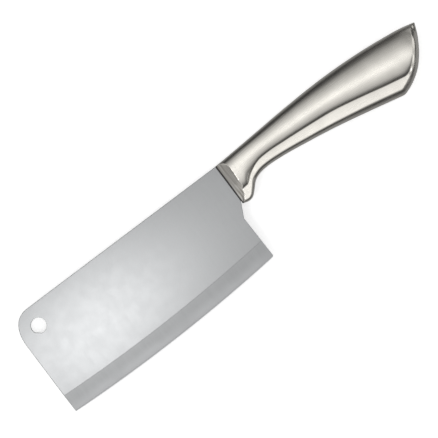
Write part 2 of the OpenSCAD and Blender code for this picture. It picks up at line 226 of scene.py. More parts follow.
def half_sections(s, inset=0.0):
    """Half sections of the handle at the shares s, set in by a distance, as [station, row, xyz]:
    spine, upper flank, rounded valley, lower flank, rounded rim and hollowed underside."""
    s = np.asarray(s, float)[:, None]
    k = slant(s)
    foot = SEAM_W / 2
    top = line_y(ARCH, s) - inset
    bottom = lower_y(s) + inset * k
    height = top - bottom
    rim = bottom + np.minimum(UNDER_W * curve(UNDER, s) * k, UNDER_MOST * height)
    shoulder = rim + np.minimum(SHOULDER_W * k, SHOULDER_MOST * height)
    valley = soft_max(line_y(VALLEY, s), shoulder, np.minimum(VALLEY_BLEND, BLEND_MOST * height))
    tilt = curve(TILT, s)
    valley_z = flank_z(s, valley, top, valley, inset)
    width = valley - rim

    def lower_z(y):
        """Lower flank: its tilt dies out towards the rim."""
        share = (valley - y) / width
        return valley_z - tilt * width * (share - TILT_FADE * share**2)

    rim_z = lower_z(rim)
    valley_reach = np.minimum(VALLEY_ROUND * k, VALLEY_MOST * width)
    rim_reach = np.minimum(RIM_ROUND * k, RIM_MOST * width)
    flank_end = valley + np.minimum(valley_reach, UPPER_MOST * (top - valley))
    t = np.linspace(0, 1, UPPER_ROWS + 1)
    upper_y = top + (flank_end - top) * t**2 * (3 - 2 * t)
    upper_z = flank_z(s, upper_y, top, valley, inset)
    t = np.linspace(0, 1, VALLEY_ROWS + 1)[1:]
    ledge_y, ledge_z = valley - valley_reach, lower_z(valley - valley_reach)
    valley_rows = (parabola(flank_end, valley, ledge_y, t),
                   parabola(upper_z[:, -1:], valley_z, ledge_z, t))
    brink_y, brink_z = rim + rim_reach, lower_z(rim + rim_reach)
    t = np.linspace(0, 1, LOWER_ROWS + 1)[1:]
    lower_rows = (ledge_y + (brink_y - ledge_y) * t, lower_z(ledge_y + (brink_y - ledge_y) * t))
    start = 1 - np.minimum(RIM_ROUND * BRINK_REACH / (rim_z - foot), BRINK_MOST)
    t = np.linspace(0, 1, RIM_ROWS + 1)[1:]
    rim_rows = (parabola(brink_y, rim, bottom + (rim - bottom) * start**2, t),
                parabola(brink_z, rim_z, foot + (rim_z - foot) * start, t))
    t = start * np.linspace(1, 0, UNDER_ROWS + 1)[1:]
    under_rows = (bottom + (rim - bottom) * t**2, foot + (rim_z - foot) * t)
    y, z = [np.concatenate(parts, axis=1) for parts in
            zip((upper_y, upper_z), valley_rows, lower_rows, rim_rows, under_rows)]
    return np.stack([np.broadcast_to(SEAM_X + HANDLE_L * s, y.shape), y, z], axis=-1)


def mirrored(points):
    """The same points on the other side of the blade's plane."""
    return points * [1, 1, -1]


def whole_loops(s, inset=0.0):
    """Closed loops of whole sections: down the left side and back up the right side."""
    half = half_sections(s, inset)
    return np.concatenate([half, mirrored(half)[:, ::-1]], axis=1)


def spread(low, high, count, weight):
    """Shares from low to high at equal steps of the sum of a weight along the handle."""
    fine = np.linspace(low, high, FINE_STEPS)
    total = np.concatenate([[0], np.cumsum((weight(fine[1:]) + weight(fine[:-1])) / 2)])
    return np.interp(np.linspace(0, total[-1], count), total, fine)


def point_numbers(grid, first=0):
    """Numbers of the points of a grid [row, column, xyz], row by row from the first."""
    return first + np.arange(grid.shape[0] * grid.shape[1]).reshape(grid.shape[:2])


def grid_faces(index, closed=False):
    """Quads between the neighbours of a grid of point numbers, closed round each row or not."""
    if closed:
        index = np.concatenate([index, index[:, :1]], axis=1)
    return np.stack([index[:-1, :-1], index[:-1, 1:], index[1:, 1:], index[1:, :-1]],
                    axis=-1).reshape(-1, 4)


def band_faces(a, b):
    """Quads of the band between two equal rows of point numbers."""
    return grid_faces(np.stack([a, b]))


def steel_piece(name, points, faces, finish, flat=0, masks=None, grain=None):
    """A mesh object from points in millimetres and lists of faces: the first faces may stay
    flat, masks are named values at the points, and grain is a pair of lengths at the points,
    along and round the piece, that becomes its UV map."""
    mesh = bpy.data.meshes.new(name)
    corners = [face for block in faces for face in np.asarray(block).tolist()]
    mesh.from_pydata((points * MM).tolist(), [], corners)
    mesh.set_sharp_from_angle(angle=SHARP_ANGLE)
    mesh.polygons.foreach_set("use_smooth", np.arange(len(corners)) >= flat)
    for label, values in (masks or {}).items():
        mesh.attributes.new(label, "FLOAT", "POINT").data.foreach_set(
            "value", np.asarray(values, np.float32))
    if grain is not None:
        vertex = np.zeros(len(mesh.loops), np.int32)
        mesh.loops.foreach_get("vertex_index", vertex)
        layer = mesh.uv_layers.new(name="grain")
        layer.data.foreach_set("uv", (grain[vertex] * MM).astype(np.float32).ravel())
    mesh.materials.append(finish)
    mesh.update()
    piece = bpy.data.objects.new(name, mesh)
    bpy.context.scene.collection.objects.link(piece)
    return piece


def grain_lengths(grid):
    """Lengths along the handle and round its section, from the spine, at the points of a grid."""
    steps = np.linalg.norm(np.diff(grid, axis=1), axis=-1)
    around = np.concatenate([np.zeros((len(grid), 1)), np.cumsum(steps, axis=1)], axis=1)
    return np.stack([grid[..., 0], around], axis=-1)


# Materials

# Share of each colour that the steels reflect
BLADE_STEEL = (0.328, 0.333, 0.337)
HANDLE_STEEL = (0.82, 0.793, 0.735)
BOLSTER_STEEL = (0.80, 0.773, 0.72)
COARSE_DARK, COARSE_LIGHT = (0.345, 0.32, 0.277, 1), (0.86, 0.84, 0.80, 1)
# Painted shade: the dark of the gap's shadow where the bolster meets the blade
JOINT_SHADE_DARK = (0.10, 0.098, 0.095, 1)
WELD_DARK, WELD_LIGHT = (0.30, 0.28, 0.26, 1), (0.5, 0.48, 0.45, 1)
# Shades of those colours, darkest and lightest
PLATE_SHADES, BEVEL_SHADES = (0.96, 1.04), (1.16, 1.24)
HANDLE_SHADES, BOLSTER_SHADES = (0.925, 1.05), (0.94, 1.04)
# The honed edge's lift is a painted highlight on the real honed strip
WORN_SHADE, LINE_SHADE, HONED_PAINTED_LIGHT = 1.42, 0.8, 2.2
SEAM_LIFT = 0.97
# The wide lines of a grain: their number for each fine one, their share of the height; and the
# part of the noise that makes the tone
WIDE_LINES, WIDE_SHARE = 0.22, 0.4
TONE_LOW, TONE_HIGH = 0.3, 0.7
# Grain, in cells to the metre: across its lines, along them, and of the slow drift
PLATE_GRAIN = (2400.0, 45.0, 150.0)
BEVEL_GRAIN = (1500.0, 70.0, 40.0)
SATIN_GRAIN = (2600.0, 60.0, 90.0)
BELT_GRAIN = (850.0, 45.0, 200.0)
WELD_GRAIN = (900.0, 900.0, 200.0)
# Roughness, and how much the grain adds to it
PLATE_ROUGH, PLATE_LINES_ROUGH, PLATE_DRIFT_ROUGH = 0.37, 0.014, 0.022
SATIN_ROUGH, SATIN_LINES_ROUGH = 0.23, 0.06
BOLSTER_ROUGH, RAMP_ADDED_ROUGH = 0.26, 0.16
WELD_ROUGH, WELD_DRIFT_ROUGH = 0.4, 0.15
# Relief of the grain: strength, and depth in metres
SATIN_RELIEF, RAMP_RELIEF, WELD_RELIEF = (0.05, 0.00002), (0.5, 0.00004), (0.6, 0.0001)
# How far highlights spread along the lines
PLATE_SPREAD, HANDLE_SPREAD, BOLSTER_SPREAD = 0.5, 0.5, 0.4
# Half width of the step between two finishes
FINISH_STEP = 0.1
# Distances from the edge at which wear of the bevel starts and is full, and its least strength
WORN_START, WORN_FULL, WORN_LEAST = 8.0, 1.5, 0.5
# Line above the bevel: half widths of its core and of all of it, and its strength
LINE_CORE, LINE_HALF, LINE_STRENGTH = 0.1, 0.5, 0.5
# Painted shade of the gap by the blade, a dark strip on the bolster: where it starts to fade and
# where it ends
JOINT_SHADE_CORE, JOINT_SHADE_W = 0.5, 1.0
# Share of the satin lines' height that the bolster keeps
SATIN_SHARE = 0.2


def shader_tree(name):
    """A new material with an empty node tree; returns the material and its nodes' maker."""
    material = bpy.data.materials.new(name)
    material.use_nodes = True
    material.node_tree.nodes.clear()
    return material, Wiring(material.node_tree)


class Wiring:
    """Adds nodes to a tree: keyword values set sockets by name, and a socket links them."""

    def __init__(self, tree):
        self.tree = tree

    def add(self, kind, settings=None, **values):
        """A new node; its settings are properties, and a name's underscores stand for spaces."""
        node = self.tree.nodes.new(kind)
        for key, value in (settings or {}).items():
            setattr(node, key, value)
        for key, value in values.items():
            self.set(node.inputs[key.replace("_", " ")], value)
        return node

    def set(self, socket, value):
        """Links a socket to the node's, or sets its value."""
        if isinstance(value, bpy.types.NodeSocket):
            self.tree.links.new(value, socket)
        else:
            socket.default_value = value

    def math(self, operation, *values):
        """Output of a Math node on numbers or sockets."""
        node = self.add("ShaderNodeMath", {"operation": operation})
        for socket, value in zip(node.inputs, values):
            self.set(socket, value)
        return node.outputs[0]

    def vector(self, operation, *values):
        """Output of a Vector Math node on vectors or sockets."""
        node = self.add("ShaderNodeVectorMath", {"operation": operation})
        for socket, value in zip(node.inputs, values):
            self.set(socket, value)
        return node.outputs["Value" if operation in ("LENGTH", "DISTANCE") else "Vector"]

    def blend(self, share, a, b):
        """Colour that goes from a to b with the share."""
        node = self.add("ShaderNodeMix", {"data_type": "RGBA"})
        for number, value in ((0, share), (6, a), (7, b)):
            self.set(node.inputs[number], value)
        return node.outputs[2]

    def ramp(self, value, low, high, start=0.0, end=1.0):
        """Smooth step from start at the low value to end at the high one."""
        node = self.add("ShaderNodeMapRange", {"interpolation_type": "SMOOTHSTEP"})
        for socket, v in zip(node.inputs, (value, low, high, start, end)):
            self.set(socket, v)
        return node.outputs[0]


def effect_group(name, inputs, outputs):
    """An empty node group with the named sockets, each given as (name, kind, value)."""
    tree = bpy.data.node_groups.new(name, "ShaderNodeTree")
    for label, kind, value in inputs:
        socket = tree.interface.new_socket(label, in_out="INPUT", socket_type=kind)
        socket.default_value = value
    for label, kind in outputs:
        tree.interface.new_socket(label, in_out="OUTPUT", socket_type=kind)
    wiring = Wiring(tree)
    entry = wiring.add("NodeGroupInput")
    leave = wiring.add("NodeGroupOutput")
    return tree, wiring, entry.outputs, leave.inputs


def ground_grain_group():
    """Lines left by a grinding belt: noise drawn out along the first axis of the vector, in two
    widths, whose weighted sum is the height. Its tone is the sum's middle part stretched from 0
    to 1, and the cloud is a slow drift over the surface, stretched in the same way."""
    tree, w, given, result = effect_group(
        "ground_grain",
        [("Vector", "NodeSocketVector", (0, 0, 0)), ("Lines", "NodeSocketFloat", 2000.0),
         ("Length", "NodeSocketFloat", 60.0), ("Drift", "NodeSocketFloat", 25.0)],
        [("Height", "NodeSocketFloat"), ("Tone", "NodeSocketFloat"),
         ("Cloud", "NodeSocketFloat")])
    scale = w.add("ShaderNodeCombineXYZ", X=given["Length"], Y=given["Lines"], Z=given["Lines"])
    drawn = w.vector("MULTIPLY", given["Vector"], scale.outputs[0])
    fine = w.add("ShaderNodeTexNoise", Vector=drawn, Scale=1.0, Detail=2.0, Roughness=0.6)
    wide = w.add("ShaderNodeTexNoise", Vector=drawn, Scale=WIDE_LINES, Detail=1.0, Roughness=0.5)
    cloud = w.add("ShaderNodeTexNoise", Vector=given["Vector"], Scale=given["Drift"], Detail=2.0,
                  Roughness=0.5)
    mixed = w.math("ADD", w.math("MULTIPLY", fine.outputs[0], 1 - WIDE_SHARE),
                   w.math("MULTIPLY", wide.outputs[0], WIDE_SHARE))
    w.set(result["Height"], mixed)
    w.set(result["Tone"], w.ramp(mixed, TONE_LOW, TONE_HIGH))
    w.set(result["Cloud"], w.ramp(cloud.outputs[0], TONE_LOW, TONE_HIGH))
    return tree


ground_grain = ground_grain_group()


def place_grain(w, vector, lines, length, drift):
    """Places the grain group in a material; returns its outputs."""
    node = w.add("ShaderNodeGroup", {"node_tree": ground_grain}, Vector=vector, Lines=lines,
                 Length=length, Drift=drift)
    return node.outputs


def relief(w, height, strength, depth):
    """Normal of a surface whose grain stands out by a height."""
    return w.add("ShaderNodeBump", Strength=strength, Distance=depth, Height=height).outputs[0]


def steel_shader(w, colour, roughness, normal, anisotropic=0.0, rotation=0.25):
    """Metal surface whose highlights are drawn out along the grain map, turned by the rotation
    in whole turns."""
    along = w.add("ShaderNodeTangent", {"direction_type": "UV_MAP", "uv_map": "grain"})
    shader = w.add("ShaderNodeBsdfPrincipled", Metallic=1.0, Base_Color=colour,
                   Roughness=roughness, Normal=normal, Anisotropic=anisotropic,
                   Anisotropic_Rotation=rotation, Tangent=along.outputs[0])
    output = w.add("ShaderNodeOutputMaterial")
    w.tree.links.new(shader.outputs[0], output.inputs["Surface"])


def shade(colour, factor):
    """A colour made darker or lighter by a factor."""
    return tuple(channel * factor for channel in colour) + (1.0,)


def toned(w, tone, colour, shades):
    """The colour between its two shades, by a tone."""
    return w.blend(tone, shade(colour, shades[0]), shade(colour, shades[1]))


def satin_tone(w, grain):
    """Mean of the grain's tone and its slow drift."""
    return w.math("MULTIPLY", w.math("ADD", grain["Tone"], grain["Cloud"]), 0.5)


def turned_place(w, apart):
    """Place with X and Y exchanged, for lines that run from the spine to the edge."""
    return w.add("ShaderNodeCombineXYZ", X=apart[1], Y=apart[0], Z=apart[2]).outputs[0]


def finish_step(w, reach, radius):
    """0 inside a radius about the edge's centre and 1 outside it."""
    return w.ramp(reach, (radius - FINISH_STEP) * MM, (radius + FINISH_STEP) * MM)


def blade_finish():
    """Cool grey satin plate with fine lines from the spine to the edge. The bevel is lighter,
    more so where it is worn near the edge, a darker line parts it from the plate, and the
    honed edge is painted bright: a painted highlight on the real honed strip. All three follow
    the distance from the cutting edge's centre."""
    material, w = shader_tree("blade_satin")
    place = w.add("ShaderNodeTexCoord").outputs["Object"]
    apart = w.add("ShaderNodeSeparateXYZ", Vector=place).outputs
    flat = w.add("ShaderNodeCombineXYZ", X=apart[0], Y=apart[1], Z=0.0).outputs[0]
    centre = (EDGE_CENTRE[0] * MM, EDGE_CENTRE[1] * MM, 0.0)
    reach = w.vector("DISTANCE", flat, centre)
    bevel_r = EDGE_R - BEVEL_W
    bevel = finish_step(w, reach, bevel_r)
    honed = finish_step(w, reach, EDGE_R - FINE_W)
    across = turned_place(w, apart)
    plate = place_grain(w, across, *PLATE_GRAIN)
    ground = place_grain(w, across, *BEVEL_GRAIN)
    plate_colour = toned(w, satin_tone(w, plate), BLADE_STEEL, PLATE_SHADES)
    bevel_colour = toned(w, ground["Tone"], BLADE_STEEL, BEVEL_SHADES)
    worn = w.ramp(reach, (EDGE_R - WORN_START) * MM, (EDGE_R - WORN_FULL) * MM)
    worn = w.math("MULTIPLY", worn, w.math("ADD", WORN_LEAST, ground["Cloud"]))
    bevel_colour = w.blend(worn, bevel_colour, shade(BLADE_STEEL, WORN_SHADE))
    mixed = w.blend(bevel, plate_colour, bevel_colour)
    off_line = w.math("ABSOLUTE", w.math("SUBTRACT", reach, bevel_r * MM))
    line = w.ramp(off_line, LINE_CORE * MM, LINE_HALF * MM, LINE_STRENGTH, 0.0)
    mixed = w.blend(line, mixed, shade(BLADE_STEEL, LINE_SHADE))
    # Painted highlight: the honed strip's colour made bright
    mixed = w.blend(honed, mixed, shade(BLADE_STEEL, HONED_PAINTED_LIGHT))
    grain_rough = w.math("ADD", w.math("MULTIPLY", plate["Tone"], PLATE_LINES_ROUGH),
                         w.math("MULTIPLY", plate["Cloud"], PLATE_DRIFT_ROUGH))
    rough = w.math("ADD", PLATE_ROUGH, grain_rough)
    height = w.add("ShaderNodeMix", Factor=bevel)
    w.set(height.inputs[2], plate["Height"])
    w.set(height.inputs[3], ground["Height"])
    steel_shader(w, mixed, rough, relief(w, height.outputs[0], *SATIN_RELIEF),
                 anisotropic=PLATE_SPREAD, rotation=0.0)
    return material


def handle_finish(name, lift):
    """Warm satin steel, its colour multiplied by the lift, with fine lines along the handle that
    follow the piece's own grain map."""
    material, w = shader_tree(name)
    grain = w.add("ShaderNodeUVMap", {"uv_map": "grain"}).outputs[0]
    lines = place_grain(w, grain, *SATIN_GRAIN)
    colour = [channel * lift for channel in HANDLE_STEEL]
    mixed = toned(w, satin_tone(w, lines), colour, HANDLE_SHADES)
    rough = w.math("ADD", SATIN_ROUGH, w.math("MULTIPLY", lines["Tone"], SATIN_LINES_ROUGH))
    steel_shader(w, mixed, rough, relief(w, lines["Height"], *SATIN_RELIEF),
                 anisotropic=HANDLE_SPREAD)
    return material


def bolster_finish():
    """Satin steel like the handle's. The ramps, which the ramp mask marks, are ground across by
    a coarse belt, and a dark strip of painted shade, standing in for the shadow of the gap,
    lies where they meet the blade."""
    material, w = shader_tree("bolster_ground")
    grain = w.add("ShaderNodeUVMap", {"uv_map": "grain"}).outputs[0]
    lines = place_grain(w, grain, *SATIN_GRAIN)
    place = w.add("ShaderNodeTexCoord").outputs["Object"]
    apart = w.add("ShaderNodeSeparateXYZ", Vector=place).outputs
    belt = place_grain(w, turned_place(w, apart), *BELT_GRAIN)
    mask = w.add("ShaderNodeAttribute", {"attribute_name": "ramp"}).outputs["Fac"]
    satin = toned(w, lines["Tone"], BOLSTER_STEEL, BOLSTER_SHADES)
    coarse = w.blend(belt["Tone"], COARSE_DARK, COARSE_LIGHT)
    mixed = w.blend(mask, satin, coarse)
    # Painted shade: the bolster darkens along the blade, in place of the shadow in the gap between
    # them
    joint_shade = w.ramp(apart[0], (SEAM_X + JOINT_SHADE_CORE) * MM, (SEAM_X + JOINT_SHADE_W) * MM, 1.0, 0.0)
    mixed = w.blend(joint_shade, mixed, JOINT_SHADE_DARK)
    rough = w.math("ADD", BOLSTER_ROUGH, w.math("MULTIPLY", mask, RAMP_ADDED_ROUGH))
    height = w.add("ShaderNodeMix", Factor=mask)
    w.set(height.inputs[2], w.math("MULTIPLY", lines["Height"], SATIN_SHARE))
    w.set(height.inputs[3], belt["Height"])
    steel_shader(w, mixed, rough, relief(w, height.outputs[0], *RAMP_RELIEF),
                 anisotropic=BOLSTER_SPREAD)
    return material


def weld_finish():
    """Bare filler metal inside the handle: dull, with the ripples of the run."""
    material, w = shader_tree("bare_weld")
    place = w.add("ShaderNodeTexCoord").outputs["Object"]
    ripple = place_grain(w, place, *WELD_GRAIN)
    colour = w.blend(ripple["Tone"], WELD_DARK, WELD_LIGHT)
    rough = w.math("ADD", WELD_ROUGH, w.math("MULTIPLY", ripple["Cloud"], WELD_DRIFT_ROUGH))
    steel_shader(w, colour, rough, relief(w, ripple["Height"], *WELD_RELIEF))
    return material


blade_satin = blade_finish()
handle_satin = handle_finish("handle_satin", 1.0)
seam_satin = handle_finish("seam_satin", SEAM_LIFT)
bolster_ground = bolster_finish()
bare_weld = weld_finish()

# Handle shells, seam and bolster

# How much closer the stations stand at the butt corner, and over what share of the length
CORNER_CROWDING, CORNER_SPAN = 2.5, 0.02


def shell_stations():
    """Stations along the shells, closer where the lower outline slants and at the butt corner,
    where the weight rises by a bell curve."""
    def weight(s):
        return slant(s) * (1 + CORNER_CROWDING * np.exp(-((s - CORNER_SHARE) / CORNER_SPAN)**2))
    return spread(shell_share, 1, SHELL_STATIONS, weight)


def hollow_stations(s):
    """Stations of the inner wall: those behind the butt corner are drawn together in proportion,
    so that the wall ends short of the point."""
    behind = CORNER_SHARE + (s - CORNER_SHARE) / (1 - CORNER_SHARE) * (hollow_share - CORNER_SHARE)
    return np.where(s < CORNER_SHARE, s, behind)


def shell_skins():
    """Half sections of the outer skin and, set in by the wall, of the inner one."""
    s = shell_stations()
    return half_sections(s), half_sections(hollow_stations(s), WALL)


def shell_mesh():
    """One pressed half of the handle: outer and inner skin as lofts of half sections, and the
    bands that join their edges."""
    outer, inner = shell_skins()
    out = point_numbers(outer)
    inn = point_numbers(inner, out.size)
    faces = [grid_faces(out), grid_faces(inn)[:, ::-1],
             band_faces(inn[0], out[0]),
             band_faces(out[:, 0], inn[:, 0])[:, ::-1],
             band_faces(inn[:, -1], out[:, -1])[:, ::-1],
             [[out[-1, 0], out[-1, -1], inn[-1, -1], inn[-1, 0]]],
             [out[-1, ::-1]], [inn[-1]]]
    points = np.concatenate([outer.reshape(-1, 3), inner.reshape(-1, 3)])
    grain = np.concatenate([grain_lengths(outer).reshape(-1, 2)] * 2)
    return points, faces, grain


def seam_mesh():
    """Weld run along the spine, round the point and back along the belly: a flat profile, crowned
    outwards by a parabola, carried along the outline."""
    outer, inner = shell_skins()
    path = np.concatenate([outer[:, 0, :2], outer[::-1, -1, :2]])
    inner_path = np.concatenate([inner[:, 0, :2], inner[::-1, -1, :2]])
    outward = path - inner_path
    outward /= np.linalg.norm(outward, axis=1, keepdims=True)
    across = np.linspace(-1, 1, SEAM_ROWS)
    crowning = SEAM_CROWN * (1 - across**2)
    top = path[:, None] + outward[:, None] * crowning[:, None]
    plan = np.concatenate([top, inner_path[:, None], inner_path[:, None]], axis=1)
    z = np.concatenate([across, [1, -1]]) * SEAM_W / 2
    grid = np.concatenate([plan, np.broadcast_to(z[:, None], plan.shape[:2] + (1,))], axis=2)
    index = point_numbers(grid)
    faces = [grid_faces(index, closed=True), [index[0, ::-1]], [index[-1]]]
    return grid.reshape(-1, 3), faces, grain_lengths(grid).reshape(-1, 2)


def cap_faces(loop):
    """Quads straight across one closed loop, from its left side to its right side."""
    return band_faces(loop[:ROWS], loop[:ROWS - 1:-1])


def ring_mesh():
    """Weld ring between the bolster's shoulder and the shells, flush with both: loops of the
    outer skin, then those of the inner one back to the first."""
    s = np.linspace(bolster_share, shell_share, RING_STATIONS)
    grid = np.concatenate([whole_loops(s), whole_loops(s, WALL)[::-1]])
    index = point_numbers(grid)
    faces = [grid_faces(np.concatenate([index, index[:1]]), closed=True)]
    return grid.reshape(-1, 3), faces, grain_lengths(grid).reshape(-1, 2)


def bolster_mesh():
    """Bolster: handle sections cut down to a ground ramp, the lower of section and ramp with a
    rounded edge, then a shoulder for the weld ring and the spigot that the shells slide over.
    The ramp climbs evenly from the blade, less so near the guard, up to the guard's steep and
    leaning wall. The mask is 1 where the ramp has cut the section."""
    outer = whole_loops(np.linspace(0, bolster_share, BOLSTER_STATIONS))
    along, up = outer[..., 0] - SEAM_X, outer[..., 1] - line_y(BELLY, 0)
    wall = (along * math.cos(GUARD_LEAN) - up * math.sin(GUARD_LEAN)) * GUARD_SLOPE
    turn = np.clip((SPINE_Y - RAMP_TURN - outer[..., 1]) / RAMP_TURN_H, 0, 1)
    slope = RAMP_SLOPE * (1 - RAMP_EASE * turn)
    ramp = BLADE_T / 2 + RAMP_STEP + np.maximum(along * slope, wall)
    height = np.abs(outer[..., 2])
    ground = np.clip((height - ramp) / RAMP_ROUND, 0, 1)
    outer[..., 2] = np.sign(outer[..., 2]) * -soft_max(-height, -ramp, RAMP_ROUND)
    spigot = whole_loops(np.linspace(bolster_share, spigot_share, SPIGOT_STATIONS),
                         WALL + SPIGOT_GAP)
    grid = np.concatenate([outer, spigot])
    index = point_numbers(grid)
    faces = [grid_faces(index, closed=True), cap_faces(index[0]), cap_faces(index[-1])[:, ::-1]]
    mask = np.concatenate([ground.ravel(), np.zeros(spigot[..., 0].size)])
    return grid.reshape(-1, 3), faces, grain_lengths(grid).reshape(-1, 2), mask


def edge_y(x, radius=EDGE_R):
    """Height of the arc of that radius about the cutting edge's centre."""
    return EDGE_CENTRE[1] - np.sqrt(radius**2 - (x - EDGE_CENTRE[0])**2)


def half_thickness(points):
    """Half thickness of the blade: it grows evenly with the distance from the cutting edge, over
    the honed strip, then over the bevel, and stays even in the plate."""
    depth = EDGE_R - np.linalg.norm(points[..., :2] - EDGE_CENTRE, axis=-1)
    return np.interp(depth, [0, FINE_W, BEVEL_W], [EDGE_T / 2, FINE_T / 2, BLADE_T / 2])


def blade_path():
    """Outline of the blade from the front end of the cutting edge, up the front, round a
    superellipse to the spine, along it, down the neck and the rear edge, round the heel's arc
    and back along the edge's. Each point has the direction in which rounded sides draw it in,
    and that in which the honed edge does."""
    bevel_r = EDGE_R - BEVEL_W
    neck_y = SPINE_Y - NECK_H
    rear = np.array([SEAM_X - HEEL_SETBACK - HEEL_LEAN, neck_y - CHOIL_H])
    heel_x = SEAM_X - HEEL_SETBACK
    heel_y = edge_y(heel_x)
    front_bevel = edge_y(FRONT_X + BLADE_ROUND, bevel_r)
    rear_bevel = edge_y(heel_x - BLADE_ROUND, bevel_r)
    rear_way = (rear_bevel - rear[1]) / (heel_y + HEEL_R - rear[1])
    turn = np.linspace(np.pi, np.pi / 2, CORNER_POINTS)
    power = 2 / CORNER_POWER
    corner = np.stack([
        FRONT_X + CORNER_L - CORNER_L * np.abs(np.cos(turn))**power,
        SPINE_Y - CORNER_H + CORNER_H * np.abs(np.sin(turn))**power], axis=1)
    spine_x = np.linspace(FRONT_X + CORNER_L, SEAM_X, SPINE_POINTS)[1:]
    spine = np.stack([spine_x, np.full_like(spine_x, SPINE_Y)], axis=1)
    sides = np.concatenate([
        [[FRONT_X, edge_y(FRONT_X)], [FRONT_X, front_bevel]], corner, spine,
        [[SEAM_X, neck_y], rear, [rear[0] + HEEL_LEAN * rear_way, rear_bevel]]])
    turn = np.linspace(0, -np.pi / 2, HEEL_POINTS)
    heel = np.stack([heel_x - HEEL_R + HEEL_R * np.cos(turn),
                     heel_y + HEEL_R + HEEL_R * np.sin(turn)], axis=1)
    edge_x = np.linspace(heel_x - HEEL_R, FRONT_X, EDGE_POINTS)[1:-1]
    edge = np.stack([edge_x, edge_y(edge_x)], axis=1)
    path = np.concatenate([sides, heel, edge])

    step = np.roll(path, -1, axis=0) - path
    step /= np.linalg.norm(step, axis=1, keepdims=True)
    inward = np.stack([step[:, 1], -step[:, 0]], axis=1)
    before = np.roll(inward, 1, axis=0)
    mitre = (inward + before) / (1 + (inward * before).sum(1, keepdims=True))
    side, keen = mitre.copy(), np.zeros_like(mitre)
    first_heel = len(sides)
    last_heel = first_heel + len(heel)
    side[first_heel:last_heel] = np.stack([-np.cos(turn), 0 * turn], axis=1)
    keen[first_heel:last_heel] = np.stack([0 * turn, -np.sin(turn)], axis=1)
    side[last_heel:], keen[last_heel:] = 0, mitre[last_heel:]
    side[0], keen[0] = [1, 0], [0, 1]
    return path, side, keen, first_heel


def blade_mesh():
    """Blade: a skirt of quarter round sides and honed edge carried round the outline, a bevel
    strip, a flat plate between the hang hole's quarter round rim and the border, the same
    mirrored for the other face, the walls between, and the stub tang as a block."""
    path, side, keen, first_heel = blade_path()
    n = len(path)
    turn = np.linspace(0, np.pi / 2, EDGE_ROWS)
    drawn, honed = BLADE_ROUND * (1 - np.sin(turn)), FINE_W * np.linspace(1, 0, EDGE_ROWS)
    plan = path + side * drawn[:, None, None] + keen * honed[:, None, None]
    thick = half_thickness(plan)
    sidedness = np.linalg.norm(side, axis=1).clip(0, 1)
    most = np.minimum(BLADE_ROUND, THIN_SHARE * thick)
    fall = most * (1 - np.cos(turn))[:, None] * sidedness
    skirt = np.concatenate([plan, (thick - fall)[..., None]], axis=2)

    edge_run = np.concatenate([[0], np.arange(n - 1, first_heel - 1, -1)])
    edge_x = plan[0, edge_run, 0]
    ends = plan[0, [1, first_heel - 1], 0]
    line_x = np.interp(edge_x, [edge_x[0], edge_x[-1]], ends)[1:-1]
    line = np.stack([line_x, edge_y(line_x, EDGE_R - BEVEL_W),
                     np.full(len(line_x), BLADE_T / 2)], axis=1)

    index = point_numbers(skirt)
    line_index = index.size + np.arange(len(line))
    bevel_line = np.concatenate([[1], line_index, [first_heel - 1]])
    border = np.concatenate([np.arange(1, first_heel), line_index[::-1]])
    border_points = np.concatenate([skirt[0, 1:first_heel], line[::-1]])
    angle = np.arctan2(border_points[:, 1], border_points[:, 0])
    reach = HOLE_R + HOLE_ROUND * (1 - np.sin(turn))
    hole = np.stack([reach[:, None] * np.cos(angle), reach[:, None] * np.sin(angle),
                     (BLADE_T / 2 - HOLE_ROUND * (1 - np.cos(turn)))[:, None]
                     + 0 * angle], axis=2)
    hole_index = point_numbers(hole, index.size + len(line))
    flat_faces = [
        grid_faces(np.stack([border, hole_index[0]]), closed=True)[:, ::-1],
        grid_faces(np.stack([edge_run, bevel_line]))]
    round_faces = [grid_faces(index, closed=True),
                   grid_faces(hole_index, closed=True)[:, ::-1]]
    points = np.concatenate([skirt.reshape(-1, 3), line, hole.reshape(-1, 3)])
    count = len(points)

    wall = grid_faces(np.stack([index[-1], index[-1] + count]), closed=True)
    hole_wall = grid_faces(np.stack([hole_index[-1], hole_index[-1] + count]), closed=True)
    tang_y = tang_middle()
    tang = np.array([[SEAM_X + TANG_L * a, tang_y + TANG_H * (b - 0.5), TANG_T * (c - 0.5)]
                     for a in (0, 1) for b in (0, 1) for c in (0, 1)])
    tang_faces = np.array([[0, 1, 3, 2], [4, 6, 7, 5], [0, 4, 5, 1], [2, 3, 7, 6],
                           [0, 2, 6, 4], [1, 5, 7, 3]]) + 2 * count
    below = [(block + count)[:, ::-1] for block in flat_faces + round_faces]
    flat_all = flat_faces + below[:2] + [tang_faces]
    faces = flat_all + round_faces + below[2:] + [wall, hole_wall[:, ::-1]]
    points = np.concatenate([points, mirrored(points), tang])
    return points, faces, sum(len(block) for block in flat_all), points[:, :2]


def tang_middle():
    """Height of the middle of the tang, where the handle is slimmest."""
    neck = np.array([NECK_SHARE])
    return float((line_y(ARCH, neck) + lower_y(neck))[0] / 2)


points, faces, flat, grain = blade_mesh()
blade_plate = steel_piece("blade_plate", points, faces, blade_satin, flat=flat, grain=grain)
points, faces, grain, mask = bolster_mesh()
bolster_block = steel_piece("bolster_block", points, faces, bolster_ground,
                            masks={"ramp": mask}, grain=grain)
points, faces, grain = ring_mesh()
ring_run = steel_piece("bolster_ring_run", points, faces, seam_satin, grain=grain)
points, faces, grain = shell_mesh()
left_shell = steel_piece("left_shell", points, faces, handle_satin, grain=grain)
right_shell = steel_piece("right_shell", mirrored(points),
                          [np.asarray(block)[:, ::-1] for block in faces], handle_satin,
                          grain=grain)
points, faces, grain = seam_mesh()
seam_run = steel_piece("seam_run", points, faces, seam_satin, grain=grain)

